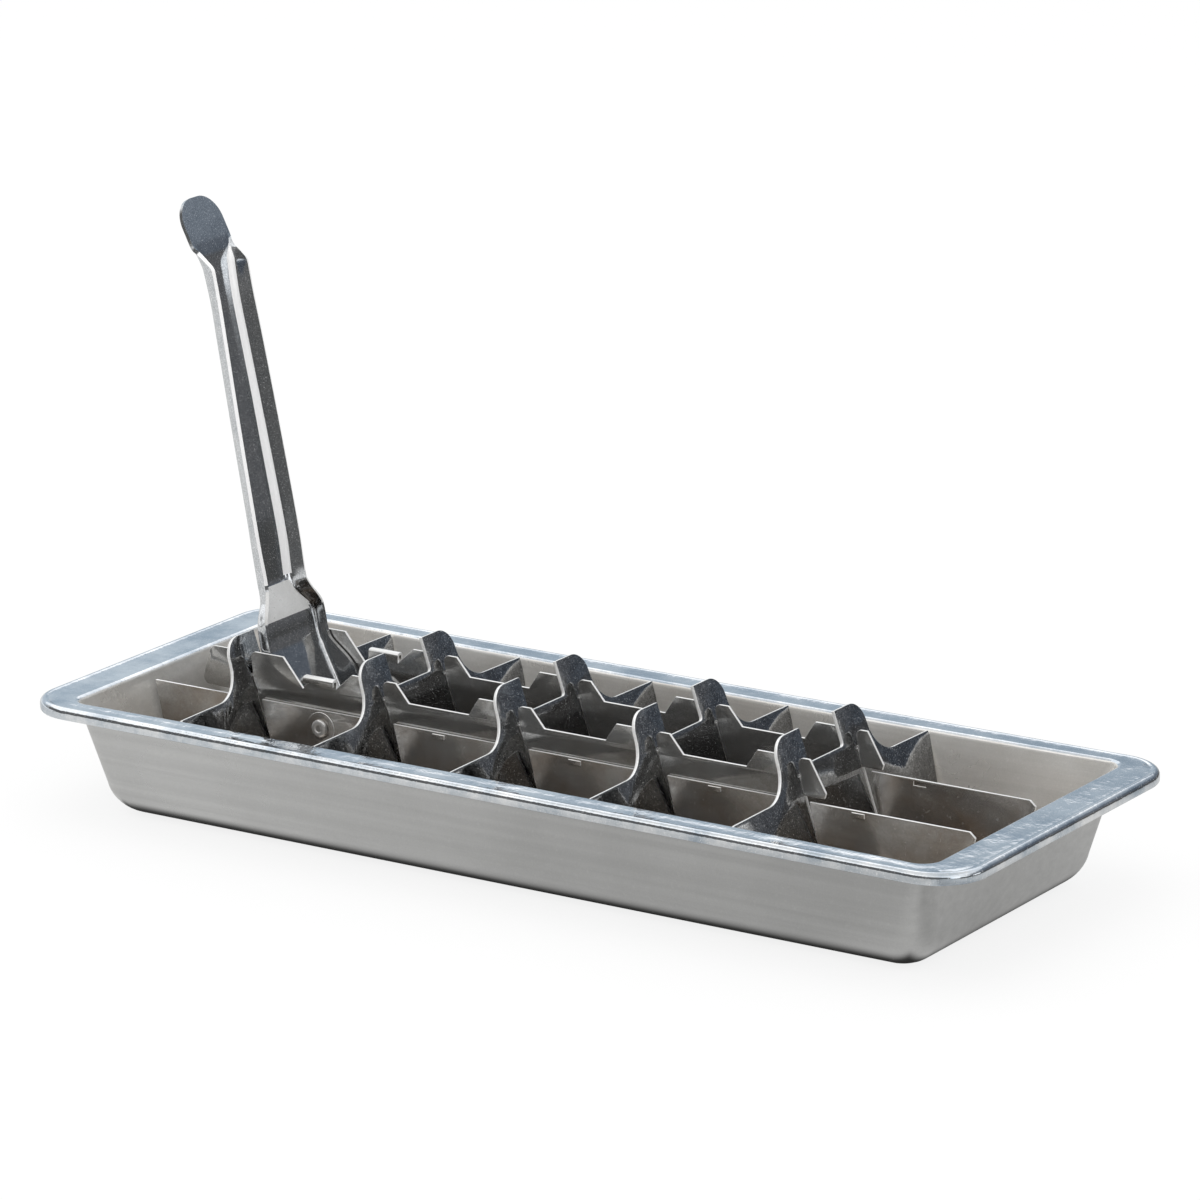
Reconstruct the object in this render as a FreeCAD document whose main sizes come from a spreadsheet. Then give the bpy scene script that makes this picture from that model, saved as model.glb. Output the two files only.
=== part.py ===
import FreeCAD, Part
import math
import os
import re
import Sketcher

# Lever ice cube tray, in millimetres.
# +X runs along the tray away from the lever, +Y to the back, +Z up.
# The origin is the middle of the tray on the surface it stands on.

DIMENSIONS = [
    # pan
    ("rim_length", 281.6, "length over the rim"),
    ("rim_width", 112.0, "width over the rim"),
    ("rim_height", 31.0, "height of the rim above the table"),
    ("rim_corner", 14.0, "corner radius of the rim seen from above"),
    ("pan_sheet", 0.8, "sheet thickness of the pan"),
    ("lip_drop", 3.5, "height of the turned-down lip, rim top included"),
    ("lip_round", 0.7, "rounding of the folded outer edge"),
    ("mouth_round", 1.2, "bend between the rim and the walls"),
    ("end_flange", 11.5, "width of the rim outside the end walls"),
    ("side_flange", 6.7, "width of the rim outside the side walls"),
    ("end_draft", 12.4, "slope of the end walls in degrees"),
    ("side_draft", 9.1, "slope of the side walls in degrees"),
    ("wall_corner", 10.4, "upright corners of the walls"),
    ("floor_round", 10.0, "rounding between walls and floor"),
    # grid
    ("free_gap", 0.1, "gap left between loose sheets"),
    ("strip_sheet", 0.8, "sheet thickness of all four strips"),
    ("strip_outer", 15.5, "middle plane to the outer face of a lower strip"),
    ("strip_top", 28.7, "top edge of the lower strips"),
    ("strip_left_gap", 2.8, "left end of the lower strips short of the wall's top"),
    ("strip_right_gap", 6.7, "right end of the lower strips short of the wall's top"),
    ("strip_nip_x", 1.9, "length of the cut corner at the right end"),
    ("strip_nip_z", 1.4, "height of the cut corner at the right end"),
    ("strip_end_round", 10.0, "lower end corners of the lower strips"),
    ("guide_offset", 16.25, "blade to the middle of the next guide bump"),
    ("guide_length", 3.7, "length of a guide bump"),
    ("guide_width", 1.15, "height of a guide bump"),
    ("guide_depth", 0.4, "how far a guide bump stands out"),
    ("guide_drop", 0.5, "top edge of the strip to the guide bump"),
    # blades
    ("first_cell", 35.2, "left end wall to the first blade at the strip top"),
    ("last_cell", 56.4, "last blade at the strip top to the right end wall"),
    ("blade_sheet", 1.0, "sheet thickness of the blades"),
    ("blade_lean", 19.0, "lean of the blades with the lever up, degrees"),
    ("blade_swing", 5.5, "how far the blades stand up with the lever down"),
    ("hinge_height", 14.5, "height of the half-lap joints"),
    ("lap_drop", 0.3, "bottom of the strip slots below the half-lap"),
    ("blade_foot", 13.6, "half-lap down to the lower edge of a blade"),
    ("foot_half", 41.0, "half width of a blade at its foot"),
    ("foot_round", 7.0, "lower corners of a blade"),
    ("arm_half", 47.6, "half width of a blade at its arms"),
    ("arm_corner_low", 0.7, "strip top to the lower end of the arm chamfer"),
    ("arm_corner_high", 2.0, "strip top to the upper end of the arm chamfer"),
    ("arm_nip", 0.4, "width of the arm chamfer"),
    ("arm_rise", 0.3, "how much the arm edge rises towards the fin"),
    ("fin_foot_half", 22.0, "half width over the fins at the arms"),
    ("fin_half", 21.0, "half width over the fins at their top"),
    ("fin_top", 17.1, "top of the fins above the strip top along the blade"),
    ("fin_inner", 8.5, "middle plane to the inner edge of a fin"),
    ("valley_edge", 8.0, "edge between the fins above the strip top"),
    ("arm_round", 8.8, "hollow curve between arm and fin"),
    ("fin_round", 5.8, "outer shoulder of a fin"),
    ("valley_round", 1.0, "corners of the edge between the fins"),
    ("bridge_low", 6.5, "lower edge of the bridge over the upper strip"),
    # upper strips
    ("strip_space", 0.2, "space between a lower and an upper strip"),
    ("slide_low", 22.0, "lower edge of the upper strips"),
    ("slide_end_low", 29.8, "lower edge of their end tabs"),
    ("slide_flat", 34.6, "flat edge between two tabs"),
    ("tab_top", 39.4, "top of the tabs"),
    ("notch_low", 34.4, "bottom of the notches for the blades"),
    ("notch_room", 0.25, "room beside a blade at the notch bottom"),
    ("tab_start", 2.0, "left corner of a tab back from the blade"),
    ("tab_end", 2.2, "blade to the right corner of a tab"),
    ("flat_start", 6.3, "blade to the start of the flat edge"),
    ("flat_end", 16.85, "end of the flat edge back from the next blade"),
    ("tab_rise_end", 13.75, "corner of the next tab back from its blade"),
    ("tab_round", 1.5, "corners of the tabs"),
    ("end_tab_foot", 18.0, "first blade to the foot of the left end tab"),
    ("end_tab_top", 14.7, "first blade to the corner of the left end tab"),
    ("end_tab_height", 40.7, "top of the left end tab"),
    ("end_tab_round", 2.2, "corners of the end tabs"),
    ("tail_top", 1.5, "last blade to the top corner of the right end tab"),
    ("tail_side", 6.3, "last blade to the end of the right end tab"),
    ("tail_low", 31.2, "height of the widest place of the right end tab"),
    ("lever_tab_top", 41.0, "top of the tab beside the lever"),
    ("lever_tab_end", 8.4, "first blade to the end of that tab"),
    ("dip_offset", 14.7, "first blade to the dip beside the curled tongue"),
    ("dip_low", 33.4, "bottom of that dip"),
    ("tongue_start", 15.9, "first blade to the start of the curled tongue"),
    ("tongue_end", 25.3, "first blade to the end of the curled tongue"),
    ("tongue_foot", 34.9, "edge of the strip below the tongue"),
    ("tongue_top", 37.5, "top of the curled tongue"),
    ("tongue_tip", 35.6, "height of its free edge, curled out and down"),
    ("tongue_out", 16.1, "middle plane to the outside of the curl"),
    ("tongue_round", 0.9, "bends of the curl"),
    ("rear_tab", 30.2, "first blade to the tab behind the tongue"),
    # lever and its pivot
    ("pivot_gap", 21.0, "first blade at the strip top to the lever pivot"),
    ("pivot_height", 24.0, "lever pivot above the table"),
    ("lever_lean", 11.4, "lean of the raised lever in degrees"),
    ("lever_travel", 78.0, "travel of the lever in degrees"),
    ("lever_sheet", 1.0, "sheet thickness of the lever"),
    ("cheek_outer", 13.3, "middle plane to the outer face of a cheek"),
    ("eye_radius", 6.2, "round end of a cheek about the pivot"),
    ("cam_radius", 2.9, "round boss that drives the upper strip"),
    ("slide_travel", 1.99, "travel of the upper strips"),
    ("yoke_roof", 28.6, "top of the yoke in the upper strip"),
    ("shank_radius", 1.6, "rivet shank"),
    ("shank_fit", 0.05, "clearance round the rivet shank"),
    ("head_radius", 2.4, "rivet head"),
    ("head_height", 1.1, "height of the rivet head"),
    ("head_chamfer", 0.4, "broken edge of the rivet head"),
    ("rivet_bore", 0.9, "hollow in the rivet"),
    ("rivet_bore_depth", 2.0, "depth of that hollow"),
    ("boss_radius", 4.2, "raised ring of the strip round the rivet"),
    ("boss_height", 0.25, "height of that ring"),
    ("web_depth", 18.0, "pivot line to the inner face of the channel web"),
    ("grip_dish", 17.4, "the same at the bend of the grip"),
    ("grip_back", 21.6, "the same at the end of the grip"),
    ("channel_start", 28.0, "pivot to the start of the channel"),
    ("base_web", 16.6, "pivot line to the web there"),
    ("base_flange", 3.3, "depth of the flanges there"),
    ("waist_at", 37.0, "pivot to the waist of the channel"),
    ("waist_web", 18.2, "pivot line to the web at the waist"),
    ("waist_half", 7.1, "half width of the web at the waist"),
    ("waist_free", 9.3, "half width over the free edges at the waist"),
    ("waist_flange", 3.8, "depth of the flanges at the waist"),
    ("neck_at", 54.4, "pivot to the neck of the channel"),
    ("neck_half", 7.4, "half width of the web at the neck"),
    ("neck_free", 9.25, "half width over the free edges at the neck"),
    ("neck_flange", 4.0, "depth of the flanges at the neck"),
    ("shaft_at", 101.5, "pivot to the end of the long taper"),
    ("shaft_half", 6.35, "half width of the web there"),
    ("shaft_free", 8.15, "half width over the free edges there"),
    ("shaft_flange", 4.65, "depth of the flanges there"),
    ("channel_end", 122.0, "pivot to the end of the channel"),
    ("head_half", 6.1, "half width of the web at its end"),
    ("head_free", 7.9, "half width over the free edges at its end"),
    ("head_flange", 4.6, "depth of the flanges at its end"),
    ("grip_bend", 124.6, "pivot to the bend of the grip"),
    ("grip_end", 139.5, "pivot to the end of the grip"),
    ("grip_half", 8.8, "half width of the grip"),
    ("grip_round", 6.8, "corners of the grip"),
    # plate across the foot of the lever and the edge of its cheeks
    ("plate_knee_in", 15.35, "pivot line to the plate at its upper bend"),
    ("plate_knee_up", 17.0, "height of that bend above the pivot"),
    ("plate_shin_in", 13.2, "pivot line to the plate at its middle bend"),
    ("plate_shin_up", 7.7, "height of that bend above the pivot"),
    ("plate_foot_in", 11.8, "pivot line to the lower edge of the plate"),
    ("plate_foot_up", 2.0, "height of that edge above the pivot"),
    ("cheek_toe_in", 3.6, "lowest corner of a cheek off the pivot line"),
    ("cheek_toe_down", 5.05, "the same below the pivot"),
    ("cheek_nose_out", 4.2, "foremost corner of a cheek off the pivot line"),
    ("cheek_nose_up", 4.4, "the same above the pivot"),
    ("cheek_brow_in", 2.2, "top of the eye off the pivot line"),
    ("cheek_brow_up", 5.8, "the same above the pivot"),
    ("cheek_bay_in", 6.3, "hollow above the eye off the pivot line"),
    ("cheek_bay_up", 7.7, "the same above the pivot"),
    ("cheek_neck_in", 7.0, "edge above the hollow off the pivot line"),
    ("cheek_neck_up", 10.9, "the same above the pivot"),
    ("cheek_flank_in", 13.3, "straight edge of a cheek off the pivot line"),
    ("cheek_flank_up", 18.6, "its lower end above the pivot"),
]

DERIVED = [
    ("wall_length", "=rim_length - 2 * end_flange", "length over the walls at rim level"),
    ("wall_width", "=rim_width - 2 * side_flange", "width over the walls at rim level"),
    ("strip_left", "=wall_length / 2 - strip_left_gap", "left end of the lower strips"),
    ("strip_right", "=wall_length / 2 - strip_right_gap", "right end of the lower strips"),
    ("blade_first", "=first_cell - wall_length / 2", "first blade at the strip top"),
    ("blade_pitch", "=(wall_length - first_cell - last_cell) / 4", "blade to blade"),
    ("pivot_x", "=blade_first + pivot_gap", "lever pivot along the tray"),
    ("lap_rise", "=strip_top - hinge_height", "half-lap to the strip top"),
    ("lap_along", "=lap_rise / cos(blade_lean)", "the same along a blade"),
    ("blade_half", "=blade_sheet / 2 / cos(blade_lean)", "half blade cut level"),
    ("strip_inner", "=strip_outer - strip_sheet", "inner face, lower strip"),
    ("slide_outer", "=strip_inner - strip_space", "outer face, upper strip"),
    ("slide_inner", "=slide_outer - strip_sheet", "inner face, upper strip"),
    ("lap_step", "=strip_inner - strip_space / 2", "step in the blade slots"),
    ("strip_low", "=pan_sheet + free_gap", "lower edge of the lower strips"),
    ("cam_throw", "=slide_travel / 2 / sin(lever_travel / 2)", "eccentricity"),
    ("yoke_x", "=pivot_x - slide_travel / 2", "middle of the yoke"),
    ("yoke_half", "=cam_radius + free_gap", "half width of the yoke"),
    ("cheek_inner", "=cheek_outer - lever_sheet", "inner face of a cheek"),
    ("grip_tilt", "=atan((grip_back - grip_dish) / (grip_end - grip_bend))", "slope of the grip"),
]

# Channel of the lever: distance from the pivot, inner face of the web,
# half width at the web, half width at the free edges, depth of the flanges.
CHANNEL = [
    ("base", "channel_start", "-base_web", "cheek_outer", "cheek_outer", "base_flange"),
    ("waist", "waist_at", "-waist_web", "waist_half", "waist_free", "waist_flange"),
    ("neck", "neck_at", "-web_depth", "neck_half", "neck_free", "neck_flange"),
    ("shaft", "shaft_at", "-web_depth", "shaft_half", "shaft_free", "shaft_flange"),
    ("head", "channel_end", "-web_depth", "head_half", "head_free", "head_flange"),
]

# Inner face of the base plate below the channel: across, along.
BASE_PLATE = [("-base_web", "channel_start"), ("-plate_knee_in", "plate_knee_up"),
              ("-plate_shin_in", "plate_shin_up"), ("-plate_foot_in", "plate_foot_up")]

# Edge of a cheek from its foot round the pivot and up to the channel.
CHEEK_EDGE = [("-cheek_toe_in", "-cheek_toe_down"), ("cheek_nose_out", "cheek_nose_up"),
              ("-cheek_brow_in", "cheek_brow_up"), ("-cheek_bay_in", "cheek_bay_up"),
              ("-cheek_neck_in", "cheek_neck_up"), ("-cheek_flank_in", "cheek_flank_up"),
              ("-cheek_flank_in", "channel_start")]

BLADES = (1, 2, 3, 4, 5)
FRONT, BACK = -1, 1

doc = FreeCAD.newDocument("lever_ice_tray")
sheet = doc.addObject("Spreadsheet::Sheet", "Dim")


def fill_sheet():
    for row, (alias, value, note) in enumerate(DIMENSIONS + DERIVED, 1):
        sheet.set("A%d" % row, note)
        sheet.set("B%d" % row, str(value))
        sheet.setAlias("B%d" % row, alias)
    doc.recompute()


def bind(text):
    """Point the words of an expression at the sheet."""
    return re.sub(r"\b([a-z]+(?:_[a-z]+)+)\b", r"Dim.\1", text)


def size(alias):
    return float(sheet.get(alias))


def new_body(label):
    body = doc.addObject("PartDesign::Body", label)
    body.Label = label
    return body


def new_sketch(body, name, plane, offset="0"):
    sketch = body.newObject("Sketcher::SketchObject", name)
    base = [f for f in body.Origin.OriginFeatures if f.Role == plane][0]
    sketch.AttachmentSupport = [(base, "")]
    sketch.MapMode = "FlatFace"
    sketch.setExpression("AttachmentOffset.Base.z", bind(offset))
    doc.recompute()
    return sketch


def value_of(sketch, text):
    return float(sketch.evalExpression(bind(text)))


def fix_point(sketch, geometry, place, corner):
    for kind, text in zip(("DistanceX", "DistanceY"), corner):
        rule = Sketcher.Constraint(kind, -1, 1, geometry, place, value_of(sketch, text))
        index = sketch.addConstraint(rule)
        sketch.setExpression("Constraints[%d]" % index, bind(text))


def polygon(sketch, corners):
    """Closed outline through corners given as pairs of expressions."""
    first = sketch.GeometryCount
    spots = [FreeCAD.Vector(value_of(sketch, a), value_of(sketch, b), 0) for a, b in corners]
    count = len(spots)
    for i in range(count):
        sketch.addGeometry(Part.LineSegment(spots[i], spots[(i + 1) % count]), False)
    for i in range(count):
        sketch.addConstraint(
            Sketcher.Constraint("Coincident", first + i, 2, first + (i + 1) % count, 1))
    for i in range(count):
        fix_point(sketch, first + i, 1, corners[i])


def disc(sketch, x, y, radius):
    centre = FreeCAD.Vector(value_of(sketch, x), value_of(sketch, y), 0)
    circle = Part.Circle(centre, FreeCAD.Vector(0, 0, 1), value_of(sketch, radius))
    index = sketch.addGeometry(circle, False)
    fix_point(sketch, index, 3, (x, y))
    rule = sketch.addConstraint(Sketcher.Constraint("Radius", index, value_of(sketch, radius)))
    sketch.setExpression("Constraints[%d]" % rule, bind(radius))


def rounded_rectangle(sketch, half_x, half_y, radius):
    """Rectangle about the middle with four round corners."""
    hx, hy, r = (value_of(sketch, text) for text in (half_x, half_y, radius))
    quarter = math.pi / 2
    first = sketch.GeometryCount
    turns = [(1, 1, 0), (-1, 1, 1), (-1, -1, 2), (1, -1, 3)]
    for sx, sy, turn in turns:
        centre = FreeCAD.Vector(sx * (hx - r), sy * (hy - r), 0)
        circle = Part.Circle(centre, FreeCAD.Vector(0, 0, 1), r)
        sketch.addGeometry(Part.ArcOfCircle(circle, turn * quarter, (turn + 1) * quarter), False)
    ends = [sketch.getPoint(first + i, 2) for i in range(4)]
    starts = [sketch.getPoint(first + i, 1) for i in range(4)]
    for i in range(4):
        sketch.addGeometry(Part.LineSegment(ends[i], starts[(i + 1) % 4]), False)
        sketch.addConstraint(Sketcher.Constraint("Coincident", first + i, 2, first + 4 + i, 1))
        sketch.addConstraint(
            Sketcher.Constraint("Coincident", first + 4 + i, 2, first + (i + 1) % 4, 1))
    for i, (sx, sy, turn) in enumerate(turns):
        inset_x = "%d * (%s - (%s))" % (sx, half_x, radius)
        inset_y = "%d * (%s - (%s))" % (sy, half_y, radius)
        side_x, side_y = "%d * (%s)" % (sx, half_x), "%d * (%s)" % (sy, half_y)
        start, end = (side_x, inset_y), (inset_x, side_y)
        if turn % 2:
            start, end = end, start
        fix_point(sketch, first + i, 1, start)
        fix_point(sketch, first + i, 2, end)
        rule = sketch.addConstraint(Sketcher.Constraint("Radius", first + i, r))
        sketch.setExpression("Constraints[%d]" % rule, bind(radius))


def grow(body, kind, name, sketch, length, back=False, middle=False):
    """Pad or pocket a sketch by a bound length."""
    feature = body.newObject("PartDesign::" + kind, name)
    feature.Profile = sketch
    feature.setExpression("Length", bind(length))
    feature.Reversed = back
    feature.Midplane = middle
    sketch.Visibility = False
    doc.recompute()
    return feature


def side_edges(feature, sketch, corners):
    """Edges that stand square on the sketch at the given corners."""
    normal = sketch.Placement.Rotation.multVec(FreeCAD.Vector(0, 0, 1))
    names = []
    for a, b in corners:
        spot = FreeCAD.Vector(value_of(sketch, a), value_of(sketch, b), 0)
        spot = sketch.Placement.multVec(spot)
        for i, edge in enumerate(feature.Shape.Edges, 1):
            ends = [vertex.Point for vertex in edge.Vertexes]
            if len(ends) == 2 and all((p - spot).cross(normal).Length < 1e-4 for p in ends):
                names.append("Edge%d" % i)
    return names


def round_off(body, name, feature, edges, radius):
    fillet = body.newObject("PartDesign::Fillet", name)
    fillet.Base = (feature, edges)
    fillet.setExpression("Radius", bind(radius))
    doc.recompute()
    return fillet


def blade_x(number):
    """Blade position at the top edge of the lower strips."""
    return "(blade_first + blade_pitch * %d)" % (number - 1)


def leaning(number, height, lean="blade_lean"):
    """Middle of a blade at a height, at one end of its swing."""
    rise = "(%s - hinge_height) * tan(%s)" % (height, lean)
    return "%s + lap_rise * tan(blade_lean) - %s" % (blade_x(number), rise)


def edges_at_height(shape, height):
    names = []
    for i, edge in enumerate(shape.Edges, 1):
        if all(abs(vertex.Point.z - height) < 1e-4 for vertex in edge.Vertexes):
            names.append("Edge%d" % i)
    return names


def mirror_pair(corners):
    return corners + [("-(%s)" % a, b) for a, b in reversed(corners)]


def make_hull(body):
    """Solid block of the pan: sloping ends, sloping sides, round corners and floor edge."""
    ends = new_sketch(body, "hull_end_slopes", "XZ_Plane")
    polygon(ends, mirror_pair([
        ("wall_length / 2 - rim_height * tan(end_draft)", "0"), ("wall_length / 2", "rim_height")]))
    block = grow(body, "Pad", "hull_block", ends, "wall_width", middle=True)
    sides = new_sketch(body, "hull_side_slopes", "YZ_Plane")
    for sign in (FRONT, BACK):
        polygon(sides, [("%d * (%s)" % (sign, y), z) for y, z in (
            ("wall_width / 2 - rim_height * tan(side_draft)", "0"),
            ("wall_width / 2", "rim_height"), ("wall_width", "rim_height"), ("wall_width", "0"))])
    hull = grow(body, "Pocket", "hull_sides", sides, "2 * wall_length", middle=True)
    upright = []
    for i, edge in enumerate(hull.Shape.Edges, 1):
        levels = [vertex.Point.z for vertex in edge.Vertexes]
        if max(levels) - min(levels) > 1:
            upright.append("Edge%d" % i)
    corners = round_off(body, "hull_corners", hull, upright, "wall_corner")
    return round_off(body, "hull_floor", corners, edges_at_height(corners.Shape, 0), "floor_round")


def make_pan():
    body = new_body("tray_pan")
    hull = make_hull(body)
    top = ["Face%d" % i for i, face in enumerate(hull.Shape.Faces, 1)
           if abs(face.CenterOfMass.z - size("rim_height")) < 1e-4]
    shell = body.newObject("PartDesign::Thickness", "pan_shell")
    shell.Base = (hull, top)
    shell.setExpression("Value", bind("pan_sheet"))
    shell.Reversed = True
    doc.recompute()
    half = "pan_sheet / 2"
    rim = new_sketch(body, "rim_outline", "XY_Plane", "rim_height")
    rounded_rectangle(rim, "rim_length / 2", "rim_width / 2", "rim_corner")
    rounded_rectangle(rim, "(wall_length / 2 - %s)" % half, "(wall_width / 2 - %s)" % half,
                      "(wall_corner - %s)" % half)
    grow(body, "Pad", "rim", rim, "pan_sheet", back=True)
    lip = new_sketch(body, "lip_outline", "XY_Plane", "rim_height")
    rounded_rectangle(lip, "rim_length / 2", "rim_width / 2", "rim_corner")
    rounded_rectangle(lip, "(rim_length / 2 - pan_sheet)", "(rim_width / 2 - pan_sheet)",
                      "(rim_corner - pan_sheet)")
    lip_pad = grow(body, "Pad", "lip", lip, "lip_drop", back=True)
    outer, mouth = rim_edges(lip_pad.Shape)
    round_off(body, "lip_fold", lip_pad, outer, "lip_round")
    outer, mouth = rim_edges(body.Tip.Shape)
    round_off(body, "mouth_bend", body.Tip, mouth, "mouth_round")
    return body


def rim_edges(shape):
    """Top edges of the rim, those outside the walls and those round the mouth."""
    outer, mouth = [], []
    half_x, half_y = size("wall_length") / 2, size("wall_width") / 2
    for name in edges_at_height(shape, size("rim_height")):
        spots = [vertex.Point for vertex in shape.Edges[int(name[4:]) - 1].Vertexes]
        if all(abs(p.x) < half_x and abs(p.y) < half_y for p in spots):
            mouth.append(name)
        else:
            outer.append(name)
    return outer, mouth


def make_lower_strip(label, side):
    """Long strip that carries the lever and the blades."""
    body = new_body(label)
    inner = "%d * strip_inner" % -side
    slope = "tan(end_draft) * (strip_top - strip_low)"
    outline = new_sketch(body, label + "_outline", "XZ_Plane", inner)
    foot_left = ("-strip_left + " + slope, "strip_low")
    foot_right = ("strip_right - " + slope, "strip_low")
    corners = [foot_left, ("-strip_left", "strip_top")]
    for number in BLADES:
        upright = "blade_lean - blade_swing"
        corners += [
            (leaning(number, "strip_top") + " - blade_half - free_gap", "strip_top"),
            (leaning(number, "hinge_height") + " - blade_half - 1.5 * free_gap",
             "hinge_height - lap_drop"),
            (leaning(number, "hinge_height") + " + blade_half + 1.5 * free_gap",
             "hinge_height - lap_drop"),
            (leaning(number, "strip_top", upright) + " + blade_half + free_gap", "strip_top"),
        ]
    corners += [
        ("strip_right - strip_nip_x", "strip_top"),
        ("strip_right - tan(end_draft) * strip_nip_z", "strip_top - strip_nip_z"),
        foot_right,
    ]
    polygon(outline, corners)
    strip = grow(body, "Pad", label + "_sheet", outline, "strip_sheet", back=side == BACK)
    ends = side_edges(strip, outline, [foot_left, foot_right])
    round_off(body, label + "_ends", strip, ends, "strip_end_round")
    add_guides(body, label, side)
    boss = new_sketch(body, label + "_boss_outline", "XZ_Plane", "%d * strip_outer" % -side)
    disc(boss, "pivot_x", "pivot_height", "boss_radius")
    grow(body, "Pad", label + "_boss", boss, "boss_height", back=side == BACK)
    hole = new_sketch(body, label + "_hole_outline", "XZ_Plane")
    disc(hole, "pivot_x", "pivot_height", "shank_radius + shank_fit / 5")
    grow(body, "Pocket", label + "_hole", hole, "2 * strip_outer", back=side == FRONT)
    return body


def add_guides(body, label, side):
    """Small bumps pressed outwards just under the top edge."""
    for kind, face in (("Pad", "strip_outer"), ("Pocket", "strip_inner")):
        sketch = new_sketch(body, "%s_guide_%s" % (label, kind.lower()), "XZ_Plane",
                            "%d * %s" % (-side, face))
        for number in BLADES[1:]:
            middle = blade_x(number) + " + guide_offset"
            left, right = middle + " - guide_length / 2", middle + " + guide_length / 2"
            top, low = "strip_top - guide_drop", "strip_top - guide_drop - guide_width"
            polygon(sketch, [(left, low), (left, top), (right, top), (right, low)])
        outward = (side == BACK) if kind == "Pad" else (side == FRONT)
        grow(body, kind, "%s_%s_bumps" % (label, kind.lower()), sketch, "guide_depth", back=outward)


def notch(number, tab_height):
    """Notch of the upper strip that holds one blade."""
    level = leaning(number, "notch_low")
    return [
        (leaning(number, tab_height) + " - blade_half - free_gap", tab_height),
        (level + " - blade_half - free_gap", "notch_low"),
        (level + " + blade_half + notch_room", "notch_low"),
    ]


def make_upper_strip(label, side):
    """Toothed strip that slides and tilts the blades."""
    body = new_body(label)
    outline = new_sketch(body, label + "_outline", "XZ_Plane", "%d * slide_inner" % -side)
    first, last = blade_x(1), blade_x(5)
    end_foot = (first + " - end_tab_foot", "slide_end_low")
    end_corner = (first + " - end_tab_top", "end_tab_height")
    corners = [end_foot, end_corner]
    rounds = []
    for number in BLADES:
        x = blade_x(number)
        before = "end_tab_height" if number == 1 else "tab_top"
        after = "lever_tab_top" if number == 1 else "tab_top"
        corners += notch(number, before)
        corners.append((x + " - tab_start", after))
        rounds.append(corners[-1])
        if number == 1:
            corners += [
                (x + " + lever_tab_end", "lever_tab_top"), (x + " + dip_offset", "dip_low"),
                (x + " + tongue_start", "tongue_foot"), (x + " + tongue_end", "tongue_foot"),
                (x + " + rear_tab", "tab_top"),
            ]
        elif number < 5:
            corners += [
                (x + " + tab_end", "tab_top"), (x + " + flat_start", "slide_flat"),
                (x + " + blade_pitch - flat_end", "slide_flat"),
                (x + " + blade_pitch - tab_rise_end", "tab_top"),
            ]
    tail = [(last + " + tail_top", "tab_top"), (last + " + tail_side", "tail_low"),
            (last + " + tail_side - 0.2 * end_tab_round", "slide_end_low")]
    corners += tail + [
        (last, "slide_end_low"), (last + " - tail_side / 2", "slide_low"),
        ("yoke_x + yoke_half", "slide_low"), ("yoke_x + yoke_half", "yoke_roof"),
        ("yoke_x - yoke_half", "yoke_roof"), ("yoke_x - yoke_half", "slide_low"),
        (first + " + tail_side / 2", "slide_low"), (first, "slide_end_low"),
    ]
    polygon(outline, corners)
    plate = grow(body, "Pad", label + "_sheet", outline, "strip_sheet", back=side == BACK)
    ends = side_edges(plate, outline, [end_foot, end_corner])
    ends_round = round_off(body, label + "_ends", plate, ends, "end_tab_round")
    tabs = side_edges(ends_round, outline, rounds)
    round_off(body, label + "_tabs", ends_round, tabs, "tab_round")
    curl = new_sketch(body, label + "_curl_outline", "YZ_Plane", first + " + tongue_start")
    top = [("%d * slide_inner" % side, "tongue_top"), ("%d * tongue_out" % side, "tongue_top")]
    hook = [
        ("%d * slide_inner" % side, "tongue_foot - strip_sheet"),
        ("%d * slide_outer" % side, "tongue_foot - strip_sheet"),
        ("%d * slide_outer" % side, "tongue_top - strip_sheet"),
        ("%d * (tongue_out - strip_sheet)" % side, "tongue_top - strip_sheet"),
        ("%d * (tongue_out - strip_sheet)" % side, "tongue_tip"),
        ("%d * tongue_out" % side, "tongue_tip"),
    ]
    polygon(curl, hook + top[::-1])
    tongue = grow(body, "Pad", label + "_curl", curl, "tongue_end - tongue_start")
    round_off(body, label + "_curl_bends", tongue, side_edges(tongue, curl, top), "tongue_round")
    return body


def make_blade(number):
    """Cross blade: outer arms, two fins and slots for the four strips."""
    label = "blade_%d" % number
    body = new_body(label)
    outline = new_sketch(body, label + "_outline", "YZ_Plane")
    half = [
        ("slide_inner - free_gap", "-blade_foot"), ("slide_inner - free_gap", "lap_along + bridge_low"),
        ("lap_step", "lap_along + bridge_low"), ("lap_step", "0"),
        ("strip_outer + free_gap", "0"), ("strip_outer + free_gap", "-blade_foot"),
        ("foot_half", "-blade_foot"), ("arm_half", "lap_along + arm_corner_low"),
        ("arm_half - arm_nip", "lap_along + arm_corner_high"),
        ("fin_foot_half", "lap_along + arm_corner_high + arm_rise"),
        ("fin_half", "lap_along + fin_top"), ("fin_inner", "lap_along + fin_top"),
        ("fin_inner", "lap_along + valley_edge"),
    ]
    mirrored = [("-(%s)" % a, b) for a, b in reversed(half)]
    polygon(outline, half + mirrored)
    plate = grow(body, "Pad", label + "_sheet", outline, "blade_sheet", middle=True)
    for name, index, radius in (("foot", 6, "foot_round"), ("hollow", 9, "arm_round"),
                                ("shoulder", 10, "fin_round"), ("valley", 12, "valley_round")):
        pair = [half[index], ("-(%s)" % half[index][0], half[index][1])]
        edges = side_edges(plate, outline, pair)
        plate = round_off(body, "%s_%s" % (label, name), plate, edges, radius)
    stand(body, leaning(number, "hinge_height"), "hinge_height", "blade_lean")
    return body


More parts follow.
